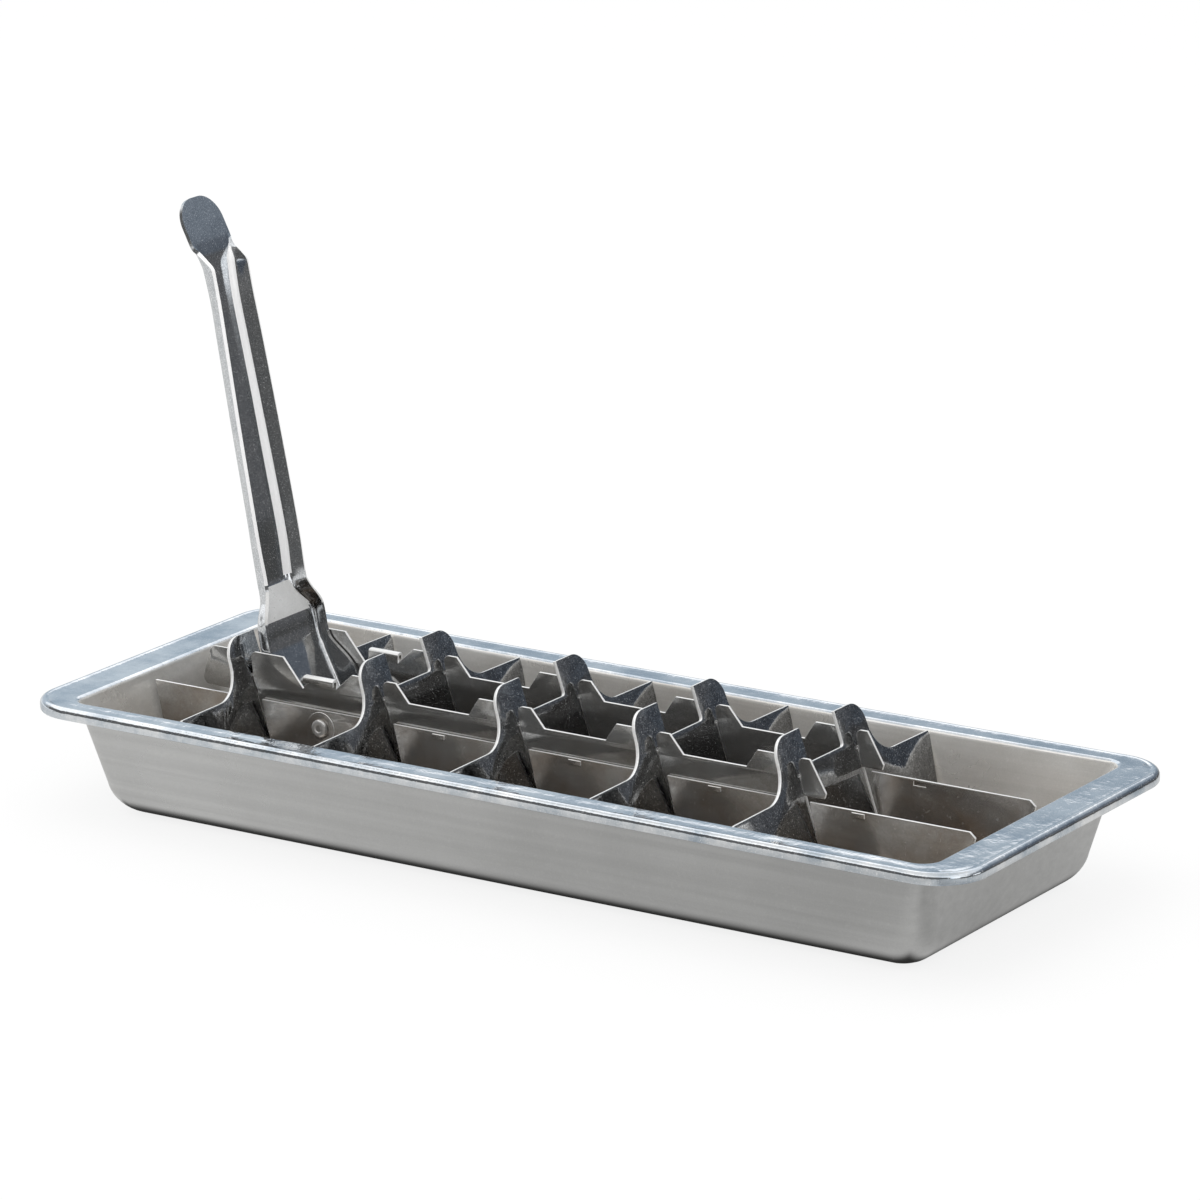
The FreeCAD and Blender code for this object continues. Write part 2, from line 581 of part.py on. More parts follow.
def stand(body, x, z, lean):
    """Lean a body back about its own origin and set it in the tray."""
    turn = FreeCAD.Rotation(FreeCAD.Vector(0, -1, 0), size(lean))
    body.Placement = FreeCAD.Placement(FreeCAD.Vector(), turn)
    body.setExpression("Placement.Base.x", bind(x))
    body.setExpression("Placement.Base.z", bind(z))
    body.setExpression("Placement.Rotation.Angle", bind(lean))
    doc.recompute()


def channel_section(body, name, along, web, half_web, half_free, depth):
    sketch = new_sketch(body, "channel_" + name, "XY_Plane", along)
    gauge = "lever_sheet"
    free = "%s + %s" % (web, depth)
    side = [(free, half_free), ("%s - %s" % (web, gauge), half_web)]
    inside = [(web, "(%s - %s)" % (half_web, gauge)), (free, "(%s - %s)" % (half_free, gauge))]
    outer = side + [(a, "-(%s)" % b) for a, b in reversed(side)]
    inner = [(a, "-(%s)" % b) for a, b in reversed(inside)] + inside
    polygon(sketch, outer + inner)
    return sketch


def make_lever():
    """Formed sheet lever, drawn upright about its pivot."""
    body = new_body("release_lever")
    sections = [channel_section(body, *row) for row in CHANNEL]
    channel = body.newObject("PartDesign::AdditiveLoft", "lever_channel")
    channel.Profile = sections[0]
    channel.Sections = sections[1:]
    channel.Ruled = True
    doc.recompute()
    plate = new_sketch(body, "lever_plate_outline", "XZ_Plane")
    outer = [(n + " - lever_sheet", u) for n, u in reversed(BASE_PLATE)]
    polygon(plate, BASE_PLATE + outer)
    grow(body, "Pad", "lever_plate", plate, "2 * cheek_outer", middle=True)
    for side in (FRONT, BACK):
        add_cheek(body, side)
    bore = new_sketch(body, "lever_bore_outline", "XZ_Plane")
    disc(bore, "0", "0", "shank_radius + shank_fit")
    grow(body, "Pocket", "lever_bore", bore, "4 * cheek_outer", middle=True)
    grip = new_sketch(body, "lever_grip_outline", "XZ_Plane")
    polygon(grip, [
        ("-web_depth", "channel_end"), ("-grip_dish", "grip_bend"), ("-grip_back", "grip_end"),
        ("-grip_back - lever_sheet * cos(grip_tilt)", "grip_end - lever_sheet * sin(grip_tilt)"),
        ("-grip_dish - lever_sheet", "grip_bend"),
        ("-web_depth - lever_sheet", "channel_end"),
    ])
    tip = grow(body, "Pad", "lever_grip", grip, "2 * grip_half", middle=True)
    round_off(body, "lever_grip_round", tip, tip_edges(tip.Shape), "grip_round")
    stand(body, "pivot_x", "pivot_height", "lever_lean")
    return body


def tip_edges(shape):
    """Short edges through the sheet at the end of the grip."""
    names = []
    for i, edge in enumerate(shape.Edges, 1):
        ends = [vertex.Point for vertex in edge.Vertexes]
        high = all(abs(p.z - size("grip_end")) < size("lever_sheet") for p in ends)
        if high and len(ends) == 2 and abs(ends[0].y - ends[1].y) < 1e-4:
            names.append("Edge%d" % i)
    return names


def add_cheek(body, side):
    """Side of the lever with its eye and the boss that drives the strip."""
    name = "front" if side == FRONT else "back"
    outward = side == BACK
    inner = "%d * cheek_inner" % -side
    cheek = new_sketch(body, "cheek_%s_outline" % name, "XZ_Plane", inner)
    rear = [(n + " - lever_sheet", u) for n, u in BASE_PLATE]
    polygon(cheek, rear + CHEEK_EDGE)
    grow(body, "Pad", "cheek_" + name, cheek, "lever_sheet", back=outward)
    eye = new_sketch(body, "eye_%s_outline" % name, "XZ_Plane", inner)
    disc(eye, "0", "0", "eye_radius")
    grow(body, "Pad", "eye_" + name, eye, "lever_sheet", back=outward)
    cam = new_sketch(body, "cam_%s_outline" % name, "XZ_Plane", inner)
    turn = "(lever_travel / 2 - lever_lean)"
    disc(cam, "-cam_throw * sin(%s)" % turn, "cam_throw * cos(%s)" % turn, "cam_radius")
    grow(body, "Pad", "cam_" + name, cam, "lap_step - cheek_inner", back=outward)


def make_rivet(label, side):
    """Hollow rivet through strip, boss and cheek."""
    body = new_body(label)
    outline = new_sketch(body, label + "_outline", "XY_Plane")
    head = "strip_outer + boss_height"
    formed = "cheek_inner - free_gap"
    profile = [
        ("rivet_bore", "%s + head_height" % head), ("head_radius - head_chamfer", "%s + head_height" % head),
        ("head_radius", "%s + head_height - head_chamfer" % head), ("head_radius", head),
        ("shank_radius", head), ("shank_radius", formed), ("head_radius", formed),
        ("head_radius", "%s - head_height / 2" % formed), ("0", "%s - head_height / 2" % formed),
        ("0", "%s + head_height - rivet_bore_depth" % head),
        ("rivet_bore", "%s + head_height - rivet_bore_depth" % head),
    ]
    polygon(outline, [(a, "%d * (%s)" % (side, b)) for a, b in profile])
    turned = body.newObject("PartDesign::Revolution", label + "_turned")
    turned.Profile = outline
    turned.ReferenceAxis = (outline, ["V_Axis"])
    turned.Angle = 360
    body.setExpression("Placement.Base.x", bind("pivot_x"))
    body.setExpression("Placement.Base.z", bind("pivot_height"))
    doc.recompute()
    return body


def build():
    fill_sheet()
    pieces = [make_pan()]
    for name, side in (("front", FRONT), ("back", BACK)):
        pieces.append(make_lower_strip(name + "_lower_strip", side))
        pieces.append(make_upper_strip(name + "_upper_strip", side))
        pieces.append(make_rivet(name + "_rivet", side))
    pieces += [make_blade(number) for number in BLADES]
    pieces.append(make_lever())
    doc.recompute()
    return pieces


def write_out(pieces):
    for thing in doc.Objects:
        if "Invalid" in thing.State or "Error" in thing.State:
            raise RuntimeError("not built: " + thing.Label)
    os.makedirs("parts", exist_ok=True)
    for piece in pieces:
        solid = piece.Shape
        if solid.isNull() or not solid.isValid() or len(solid.Solids) != 1:
            raise RuntimeError("bad solid: " + piece.Label)
        solid.exportStep("parts/%s.step" % piece.Label)


write_out(build())
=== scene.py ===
import math

import bmesh
import bpy
from mathutils import Matrix, Vector


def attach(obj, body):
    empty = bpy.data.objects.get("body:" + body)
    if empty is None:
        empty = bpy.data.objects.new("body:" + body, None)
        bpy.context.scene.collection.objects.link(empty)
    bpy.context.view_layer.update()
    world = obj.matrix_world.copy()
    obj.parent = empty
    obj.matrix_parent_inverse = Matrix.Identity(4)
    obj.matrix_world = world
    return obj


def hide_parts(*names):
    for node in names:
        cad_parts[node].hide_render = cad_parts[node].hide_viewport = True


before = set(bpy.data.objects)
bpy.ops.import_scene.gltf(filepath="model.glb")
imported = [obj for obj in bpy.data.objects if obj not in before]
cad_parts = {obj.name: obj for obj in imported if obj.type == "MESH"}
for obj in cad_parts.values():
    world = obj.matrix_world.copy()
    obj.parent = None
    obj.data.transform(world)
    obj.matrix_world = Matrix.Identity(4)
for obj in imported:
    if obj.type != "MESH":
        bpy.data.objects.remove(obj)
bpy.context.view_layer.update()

# Lengths are in millimetres, apart from the studio's, which are in metres.
MM = 0.001

# Camera of the product view.
VIEW_AZIMUTH = math.radians(32.848)
VIEW_ELEVATION = math.radians(15.878)
VIEW_ROLL = math.radians(-0.246)
VIEW_DISTANCE = 1684.56
VIEW_OFFSET = (2.648, 60.448)
VIEW_TARGET = Vector((0, 0, 3))
LENS = 196.54
SENSOR = 36.0

# Pan: outline of the rim, walls, mouth and floor with the bends between them, then the rings
# of the floor in from its bend, how the corners tighten round that bend, the share of its
# height where the walls start to lean, and how far the walls' rings stay off both bends.
PAN_SHEET = 0.8
RIM_HALF = (140.8, 56.0)
RIM_CORNER = 14.0
RIM_HEIGHT = 31.0
WALL_HALF = (129.3, 49.3)
WALL_SLOPE = (math.tan(math.radians(12.4)), math.tan(math.radians(9.1)))
MOUTH_CORNER = 5.2
MOUTH_ROUND = 1.4
FLOOR_CORNER = 9.6
FLOOR_ROUND = 10.0
FLOOR_RINGS = ((36.0, 18.0), (14.4, 7.2), (3.6, 1.8))
FLOOR_RING_CORNER = 1.6
LEAST_CORNER = 1.8
CORNER_TUCK = 0.75
LEAN_START = 0.9
WALL_MARGIN = (1.6, 2.4)

# Bow of the long walls: its depth at the mouth, the height where it starts, how fast it grows
# upwards, how full it is along a side, and what the rim takes over of it.
MOUTH_BOW = 1.6
BOW_START = 14.0
BOW_GROWTH = 1.5
BOW_FULLNESS = 0.8
RIM_BOW = 0.6

# Points of a ring round each corner and along each side.
CORNER_STEPS = 14
SIDE_STEPS = 40

# Rim: round and depth of its folded lip, and the shallow dish of its flange, whose rings are
# given as shares of the way from the mouth to the lip. The crest is insets behind the lip's
# round and drops below its top, the edge is insets from the outline and heights over its foot.
# Faces down to the polished depth, and the lip beyond the margins off the walls, are polished.
LIP_ROUND = 1.45
LIP_DROP = 3.1
LIP_DISH = 0.22
DISH_RINGS = (0.3, 0.55, 0.74)
LIP_CREST = ((0.9, LIP_DISH), (0.35, 0.05))
LIP_EDGE = ((0.0, 1.1), (0.05, 0.3), (0.25, 0.03), (PAN_SHEET - 0.2, 0.0), (PAN_SHEET, 0.3))
POLISHED_DEPTH = 0.35
POLISHED_MARGIN = (6.0, 3.0)
LIP_MARGIN = 0.5

# Lever, in its own upright frame about the pivot.
PIVOT = Vector((-73.1, 0, 24.0))
LEVER_LEAN = math.radians(11.4)
LEVER_SHEET = 1.0

# Blades.
BLADE_LEAN = math.radians(19.0)
BLADE_COUNT = 5

# Width of the broken edges of each kind of piece.
STRIP_EDGE = 0.12
TOOTHED_EDGE = 0.14
BLADE_EDGE = 0.14
RIVET_EDGE = 0.25
LEVER_EDGE = 0.22
CHEEK_EDGE = 0.2

# Degrees beyond which an edge is sharp, on cut sheets and on formed ones.
CUT_ANGLE = 35
FORMED_ANGLE = 50

# Least part of a face's direction that makes it a sheet's face, the step's painted highlight or
# the pan's painted-light inside.
SHEET_FACING = 0.9
STEP_FACING = 0.85
INSIDE_FACING = -0.05

# Points closer than this are one point, and faces flatter than this are one face.
WELD = 0.002
FLAT = math.radians(0.4)


# ---------------------------------------------------------------- meshes


def new_piece(name, vertices, faces, body, nodes, materials):
    """Piece from points in millimetres."""
    mesh = bpy.data.meshes.new(name)
    mesh.from_pydata([Vector(v) * MM for v in vertices], [], faces)
    return finish_piece(mesh, name, body, nodes, materials)


def finish_piece(mesh, name, body, nodes, materials):
    """Clean a mesh, put it in the scene and hand it to its body."""
    work = bmesh.new()
    work.from_mesh(mesh)
    bmesh.ops.remove_doubles(work, verts=work.verts, dist=WELD * MM)
    bmesh.ops.recalc_face_normals(work, faces=work.faces)
    work.to_mesh(mesh)
    work.free()
    piece = bpy.data.objects.new(name, mesh)
    bpy.context.scene.collection.objects.link(piece)
    for material in materials:
        mesh.materials.append(material)
    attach(piece, body)
    if nodes:
        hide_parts(*nodes)
    return piece


def soften(piece, width, angle=CUT_ANGLE):
    """Break the sharp edges of a sheet piece."""
    piece.data.shade_smooth()
    bevel = piece.modifiers.new("broken edge", "BEVEL")
    bevel.width = width * MM
    bevel.segments = 2
    bevel.limit_method = "ANGLE"
    bevel.angle_limit = math.radians(angle)
    bevel.harden_normals = True
    bevel.use_clamp_overlap = True


def sheet_from_cad(node, body, face_finish, edge_finish, across, edge):
    """Flat sheet piece with its cut edges softened and in a material of their own, the painted
    edge highlight on strips and blades.
    """
    name = node + "_sheet"
    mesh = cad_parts[node].data.copy()
    mesh.name = name
    mesh.materials.clear()
    work = bmesh.new()
    work.from_mesh(mesh)
    bmesh.ops.remove_doubles(work, verts=work.verts, dist=WELD * MM)
    bmesh.ops.dissolve_limit(work, angle_limit=FLAT, verts=work.verts, edges=work.edges)
    for face in work.faces:
        face.material_index = 0 if abs(face.normal.dot(across)) > SHEET_FACING else 1
    work.to_mesh(mesh)
    work.free()
    piece = finish_piece(mesh, name, body, [node], [face_finish, edge_finish])
    soften(piece, edge)


def ring(half_x, half_y, radius, z, bow=0.0):
    """Points of a rounded rectangle, anticlockwise, with its long sides bowed inwards."""
    corners = ((1, 1), (-1, 1), (-1, -1), (1, -1))
    points = []
    for turn, (sx, sy) in enumerate(corners):
        cx, cy = sx * (half_x - radius), sy * (half_y - radius)
        for i in range(CORNER_STEPS + 1):
            angle = (turn + i / CORNER_STEPS) * math.pi / 2
            points.append([cx + radius * math.cos(angle), cy + radius * math.sin(angle), z])
        nx, ny = corners[(turn + 1) % 4]
        start, long_side = points[-1], turn % 2 == 0
        if long_side:
            end = (nx * (half_x - radius), start[1])
        else:
            end = (start[0], ny * (half_y - radius))
        for i in range(1, SIDE_STEPS):
            f = i / SIDE_STEPS
            x = start[0] + (end[0] - start[0]) * f
            y = start[1] + (end[1] - start[1]) * f
            if long_side:
                y -= sy * bow * math.sin(math.pi * f) ** BOW_FULLNESS
            points.append([x, y, z])
    return points


def bridge_rings(rings):
    """Faces between rings of equal length, with both ends capped."""
    count = len(rings[0])
    last = (len(rings) - 1) * count
    faces = []
    for a in range(0, last, count):
        b = a + count
        for i in range(count):
            j = (i + 1) % count
            faces.append((a + i, a + j, b + j, b + i))
    faces.append(tuple(reversed(range(count))))
    faces.append(tuple(range(last, last + count)))
    return faces


def arc(start, end, steps):
    """Evenly spaced values from start to end, both included."""
    return [start + (end - start) * i / steps for i in range(steps + 1)]


def wall_inset(z, side):
    """How far a wall has leant in at a height; side 0 is an end wall, side 1 a long one."""
    return (RIM_HEIGHT - z) * WALL_SLOPE[side]


def wall_corner(z):
    """Corner radius of the walls, tight at the mouth and wider towards the floor."""
    return MOUTH_CORNER + (FLOOR_CORNER - MOUTH_CORNER) * (1 - z / RIM_HEIGHT)


def pan_skin(offset, low):
    """Rings of one side of the pan's sheet, from the middle of the floor to the mouth's bend.

    The offset is the distance in from the outer skin, low the height of this skin's floor."""
    rounding = FLOOR_ROUND - offset
    lift = low + rounding

    def wall_ring(height, z, pull, corner, bow=0.0):
        return ring(WALL_HALF[0] - offset - wall_inset(height, 0) - pull[0],
                    WALL_HALF[1] - offset - wall_inset(height, 1) - pull[1], corner, z, bow)

    rings = [wall_ring(lift, low, (rounding + inset[0], rounding + inset[1]), FLOOR_RING_CORNER)
             for inset in FLOOR_RINGS]
    for angle in arc(-90, -8, 12):
        a = math.radians(angle)
        z = lift + rounding * math.sin(a)
        pull = rounding * (1 - math.cos(a))
        corner = max(wall_corner(z) - offset - pull * CORNER_TUCK, LEAST_CORNER)
        rings.append(wall_ring(max(z, lift * LEAN_START), z, (pull, pull), corner))
    for z in arc(lift + WALL_MARGIN[0], RIM_HEIGHT - PAN_SHEET - WALL_MARGIN[1], 6):
        rise = max(0.0, (z - BOW_START) / (RIM_HEIGHT - BOW_START))
        bow = MOUTH_BOW * rise ** BOW_GROWTH
        rings.append(wall_ring(z, z, (0.0, 0.0), wall_corner(z) - offset, bow))
    return rings


def bend_ring(radius, angle, sheet):
    """One line along the bend of the mouth, at an angle that runs from the wall up to the rim."""
    a = math.radians(angle)
    out = radius * (1 - math.cos(a)) - sheet
    z = RIM_HEIGHT - PAN_SHEET + sheet - radius + radius * math.sin(a)
    return ring(WALL_HALF[0] + out, WALL_HALF[1] + out, MOUTH_CORNER + out, z, MOUTH_BOW)


def rim_ring(inset, z):
    """One line along the lip, inside the rim's outline."""
    return ring(RIM_HALF[0] - inset, RIM_HALF[1] - inset, RIM_CORNER - inset, z)


def lip_profile():
    """Section of the folded lip, as insets from the rim's outline and heights."""
    low = RIM_HEIGHT - LIP_DROP
    centre = RIM_HEIGHT - LIP_ROUND

    def bend(angle, radius, start):
        a = math.radians(angle)
        return (start + radius * (1 - math.cos(a)), centre + radius * math.sin(a))

    points = [(LIP_ROUND + inset, RIM_HEIGHT - drop) for inset, drop in LIP_CREST]
    points += [bend(angle, LIP_ROUND, 0.0) for angle in arc(96, 0, 9)]
    points += [(inset, low + rise) for inset, rise in LIP_EDGE]
    points.append((PAN_SHEET, centre))
    points += [bend(angle, LIP_ROUND - PAN_SHEET, PAN_SHEET) for angle in arc(20, 90, 4)]
    return points


def build_pan(finishes):
    """Pressed pan: inner skin, bend to the rim, folded lip and outer skin in one closed sheet."""
    top = [bend_ring(MOUTH_ROUND, angle, PAN_SHEET) for angle in arc(0, 90, 8)]
    for share in DISH_RINGS:
        half_x, half_y, corner = (
            inner + (outer - inner) * share
            for inner, outer in zip((*WALL_HALF, MOUTH_CORNER), (*RIM_HALF, RIM_CORNER)))
        dish = LIP_DISH * math.sin(math.pi * share) ** 2
        bow = MOUTH_BOW * (1 - share) * RIM_BOW
        top.append(ring(half_x, half_y, corner, RIM_HEIGHT - dish, bow))
    fold = [rim_ring(inset, z) for inset, z in lip_profile()]
    under = [bend_ring(MOUTH_ROUND + PAN_SHEET, angle, 0.0) for angle in arc(90, 0, 5)]
    rings = pan_skin(PAN_SHEET, PAN_SHEET) + top + fold + under + pan_skin(0.0, 0.0)[::-1]
    vertices = [point for points in rings for point in points]
    pan = new_piece("pan_shell", vertices, bridge_rings(rings), "tray", ["tray_pan"],
                    finishes)
    wall, polished, inside = range(3)
    for face in pan.data.polygons:
        x, y, z = face.center / MM
        beyond = (abs(x) > WALL_HALF[0] + POLISHED_MARGIN[0]
                  or abs(y) > WALL_HALF[1] + POLISHED_MARGIN[1])
        lip = beyond and z > RIM_HEIGHT - LIP_DROP - LIP_MARGIN
        if lip or z > RIM_HEIGHT - POLISHED_DEPTH:
            face.material_index = polished
        else:
            # Faces turned up or inwards take the inside steel, with its painted light.
            face.material_index = inside if face.normal.z > INSIDE_FACING else wall
    pan.data.shade_smooth()
    pan.data.set_sharp_from_angle(angle=math.radians(FORMED_ANGLE))


# Stations of the lever: height along it, level of the web's inner face, half width at the web,
# half width at the flanges' free edges, level of those edges.
LEVER_STATIONS = [
    (2.0, -11.8, 13.3, 13.3, -4.5),
    (5.0, -12.6, 13.3, 13.3, -5.6),
    (8.1, -13.4, 13.3, 13.3, -6.5),
    (10.9, -14.2, 13.3, 13.3, -7.6),
    (13.4, -14.9, 13.3, 13.3, -9.3),
    (15.6, -15.5, 13.3, 13.3, -11.2),
    (18.2, -16.2, 13.3, 13.3, -13.2),
    (21.0, -16.5, 13.3, 13.3, -13.7),
    (24.5, -16.55, 13.2, 13.3, -13.7),
    (26.8, -16.6, 12.9, 13.3, -13.7),
    (28.4, -16.8, 12.0, 13.1, -13.7),
    (30.5, -17.3, 10.0, 12.0, -13.9),
    (32.5, -17.8, 8.2, 10.7, -14.2),
    (35.2, -18.45, 7.2, 9.4, -14.5),
    (36.3, -18.6, 7.1, 9.3, -14.5),
    (39.5, -18.5, 7.2, 9.3, -14.4),
    (46.0, -18.2, 7.4, 9.6, -14.3),
    (54.4, -18.0, 7.2, 9.6, -14.2),
    (78.0, -18.0, 6.7, 9.2, -14.0),
    (101.5, -18.0, 6.1, 8.5, -13.8),
    (112.0, -18.0, 5.85, 8.1, -13.8),
    (118.0, -18.0, 6.2, 8.1, -13.8),
    (121.2, -18.0, 6.55, 8.1, -13.85),
    (121.9, -18.0, 6.65, 8.1, -14.25),
    (123.5, -18.0, 6.9, 8.1, -15.6),
    (124.6, -18.0, 7.1, 8.05, -16.55),
    (125.6, -18.05, 7.3, 8.1, -17.45),
    (126.4, -18.15, 7.4, 8.4, -18.2),
    (127.4, -18.3, 7.4, 8.75, -18.75),
    (129.0, -18.7, 7.4, 8.8, -19.2),
]
# Grip: where it starts and ends, half width, round of its end and lean to the back.
GRIP_START = 129.0
GRIP_END = 139.5
GRIP_HALF = 8.8
GRIP_ROUND = 6.8
GRIP_LEAN = 0.28
# Half of the channel's section, from the middle of the web out: shares of the flat web, steps
# round the bend and its least and greatest reach, shares of the flange.
WEB_SHARES = (0, 0.3, 0.55, 0.75)
BEND_STEPS = 6
BEND_LIMITS = (0.3, 2.2)
FLANGE_SHARES = (0.33, 0.66, 1.0)
ROW_STEP = 0.8
# Heights of the step's painted highlight and of the creases' painted highlights, which are
# columns off the middle.
STEP_BAND = (27.2, 35.4)
CREASE_BAND = (37.5, 125.5)
CREASE_COLUMNS = (4, 9)


def blend_rows(rows, along):
    """Values of the station table at a place along the lever, joined by smooth curves."""
    last = len(rows) - 1
    k = max(i for i in range(last) if rows[i][0] <= along)
    low, high = rows[k], rows[k + 1]
    before, after = rows[max(k - 1, 0)], rows[min(k + 2, last)]
    reach = high[0] - low[0]
    f = (along - low[0]) / reach
    values = []
    for i in range(1, len(low)):
        leave = (high[i] - before[i]) / (high[0] - before[0]) * reach
        arrive = (after[i] - low[i]) / (after[0] - low[0]) * reach
        values.append((2 * f ** 3 - 3 * f ** 2 + 1) * low[i] + (f ** 3 - 2 * f ** 2 + f) * leave
                      + (3 * f ** 2 - 2 * f ** 3) * high[i] + (f ** 3 - f ** 2) * arrive)
    return values


def lever_section(along):
    """Half of the sheet's middle line at one station, from the middle of the web out."""
    web, half_web, half_free, free = blend_rows(LEVER_STATIONS, along)
    web -= LEVER_SHEET / 2
    half_web -= LEVER_SHEET / 2
    half_free -= LEVER_SHEET / 2
    depth = free - web
    bend = max(BEND_LIMITS[0], min(BEND_LIMITS[1], depth * 0.5))
    flange = Vector((depth, half_free - half_web)).normalized()
    start = Vector((web, half_web - bend))
    corner = Vector((web, half_web))
    end = corner + flange * bend
    tip = Vector((free, half_free))
    points = [(web, half_web * f) for f in WEB_SHARES]
    for f in arc(0, 1, BEND_STEPS):
        points.append(tuple(start * (1 - f) ** 2 + corner * 2 * f * (1 - f) + end * f ** 2))
    points += [tuple(end + (tip - end) * f) for f in FLANGE_SHARES]
    return points


def grip_row(along):
    """One row across the flat grip, narrowing over its rounded end."""
    base = lever_section(GRIP_START)
    reach = along - (GRIP_END - GRIP_ROUND)
    half = GRIP_HALF - LEVER_SHEET / 2
    if reach > 0:
        half += math.sqrt(max(GRIP_ROUND ** 2 - reach ** 2, 0)) - GRIP_ROUND
    lean = (along - GRIP_START) * GRIP_LEAN
    return [(n - lean, y * half / base[-1][1]) for n, y in base]


def thick_sheet(rows, thickness):
    """Closed sheet of even thickness about a grid of middle points."""
    height, width = len(rows), len(rows[0])
    front, back = [], []
    for k in range(height):
        for i in range(width):
            along = rows[min(k + 1, height - 1)][i] - rows[max(k - 1, 0)][i]
            across = rows[k][min(i + 1, width - 1)] - rows[k][max(i - 1, 0)]
            step = along.cross(across).normalized() * thickness / 2
            front.append(rows[k][i] + step)
            back.append(rows[k][i] - step)
    count = height * width
    faces = []
    for k in range(height - 1):
        for i in range(width - 1):
            a = k * width + i
            faces.append((a, a + 1, a + 1 + width, a + width))
            faces.append((count + a + width, count + a + 1 + width, count + a + 1, count + a))
    border = list(range(width - 1))
    border += [k * width + width - 1 for k in range(height - 1)]
    border += [(height - 1) * width + i for i in range(width - 1, 0, -1)]
    border += [k * width for k in range(height - 1, 0, -1)]
    for a, b in zip(border, border[1:] + border[:1]):
        faces.append((b, a, count + a, count + b))
    return front + back, faces


def build_lever(finishes):
    """Formed sheet of the lever with its foot, channel and grip."""
    first = LEVER_STATIONS[0][0]
    profile = [(u, lever_section(u))
               for u in arc(first, GRIP_START, round((GRIP_START - first) / ROW_STEP))]
    for angle in arc(4, 88, 12):
        along = GRIP_END - GRIP_ROUND + GRIP_ROUND * math.sin(math.radians(angle))
        profile.append((along, grip_row(along)))
    rows = []
    for along, half in profile:
        full = [(n, -y) for n, y in reversed(half[1:])] + half
        rows.append([Vector(stand_lever((n, y, along))) for n, y in full])
    vertices, faces = thick_sheet(rows, LEVER_SHEET)
    lever = new_piece("lever_sheet", vertices, faces, "lever", ["release_lever"],
                      finishes)
    front = Vector((math.cos(LEVER_LEAN), 0, math.sin(LEVER_LEAN)))
    upright = Vector((-math.sin(LEVER_LEAN), 0, math.cos(LEVER_LEAN)))
    across = len(rows[0]) - 1
    border = 2 * across * (len(rows) - 1)
    polished, step, crease = range(3)
    for face in lever.data.polygons:
        height = (face.center / MM - PIVOT).dot(upright)
        column = abs(face.index // 2 % across + 0.5 - across / 2)
        creased = face.index % 2 and CREASE_COLUMNS[0] < column < CREASE_COLUMNS[1]
        face.material_index = polished
        # Forward-facing faces of the step get a painted highlight; faces along the bends on one
        # skin, and the sheet's edges, get painted highlights in the crease band.
        if face.normal.dot(front) > STEP_FACING and STEP_BAND[0] < height < STEP_BAND[1]:
            face.material_index = step
        elif CREASE_BAND[0] < height < CREASE_BAND[1] and (creased or face.index >= border):
            face.material_index = crease
    soften(lever, LEVER_EDGE, FORMED_ANGLE)


def stand_lever(point):
    """From the lever's upright frame to the tray's."""
    n, y, u = point
    x = PIVOT.x + n * math.cos(LEVER_LEAN) - u * math.sin(LEVER_LEAN)
    z = PIVOT.z + n * math.sin(LEVER_LEAN) + u * math.cos(LEVER_LEAN)
    return (x, y, z)


# Cheeks: their outline before and after the round eye, the boss, and the levels of their faces.
CHEEK_START = [(-12.6, 2.2), (-8.0, -1.6), (-5.2, -3.6)]
CHEEK_END = [(-6.3, 7.7), (-7.0, 10.4), (-12.9, 10.6)]
CHEEK_FACES = (12.32, 13.28)
EYE_RADIUS = 6.2
BOSS_RADIUS = 2.9
BOSS_PLACE = (-0.732, 1.4)
BOSS_FACES = (13.2, 14.6)


def build_cheeks(finish):
    """Round ends of the cheeks about the pivot, with the boss that drives the upper strip."""

    def circle(radius, angles, centre=(0.0, 0.0)):
        return [(centre[0] + radius * math.cos(a), centre[1] + radius * math.sin(a))
                for a in angles]

    eye = circle(EYE_RADIUS, [math.radians(angle) for angle in arc(-145, 118, 24)])
    boss = circle(BOSS_RADIUS, arc(0, 2 * math.pi, 40)[:-1], BOSS_PLACE)
    for name, side in (("front", -1), ("back", 1)):
        vertices, faces = [], []
        for points, levels in ((CHEEK_START + eye + CHEEK_END, CHEEK_FACES), (boss, BOSS_FACES)):
            first, count = len(vertices), len(points)
            for y in levels:
                vertices += [stand_lever((n, side * y, u)) for n, u in points]
            for i in range(count):
                j = (i + 1) % count
                faces.append((first + i, first + j, first + count + j, first + count + i))
            faces.append(tuple(first + i for i in reversed(range(count))))
            faces.append(tuple(first + count + i for i in range(count)))
        cheek = new_piece("lever_cheek_" + name, vertices, faces, "lever", [],
                          [finish])
        soften(cheek, CHEEK_EDGE)


# ---------------------------------------------------------------- finishes


def node_tree(name):
    """New material, with its nodes and links."""
    material = bpy.data.materials.new(name)
    material.use_nodes = True
    return material, material.node_tree.nodes, material.node_tree.links


def remap(nodes, links, source, low, high, to_low=0.0, to_high=1.0):
    """Node that moves a value from one range to another and holds it within the ends."""
    node = nodes.new("ShaderNodeMapRange")
    ends = {"From Min": low, "From Max": high, "To Min": to_low, "To Max": to_high}
    for socket, value in ends.items():
        node.inputs[socket].default_value = value
    links.new(source, node.inputs["Value"])
    return node


def own_place(nodes, links):
    """A point's place on its own object, whole and split into its three parts."""
    place = nodes.new("ShaderNodeTexCoord").outputs["Object"]
    split = nodes.new("ShaderNodeSeparateXYZ")
    links.new(place, split.inputs["Vector"])
    return place, split.outputs["X"], split.outputs["Y"], split.outputs["Z"]


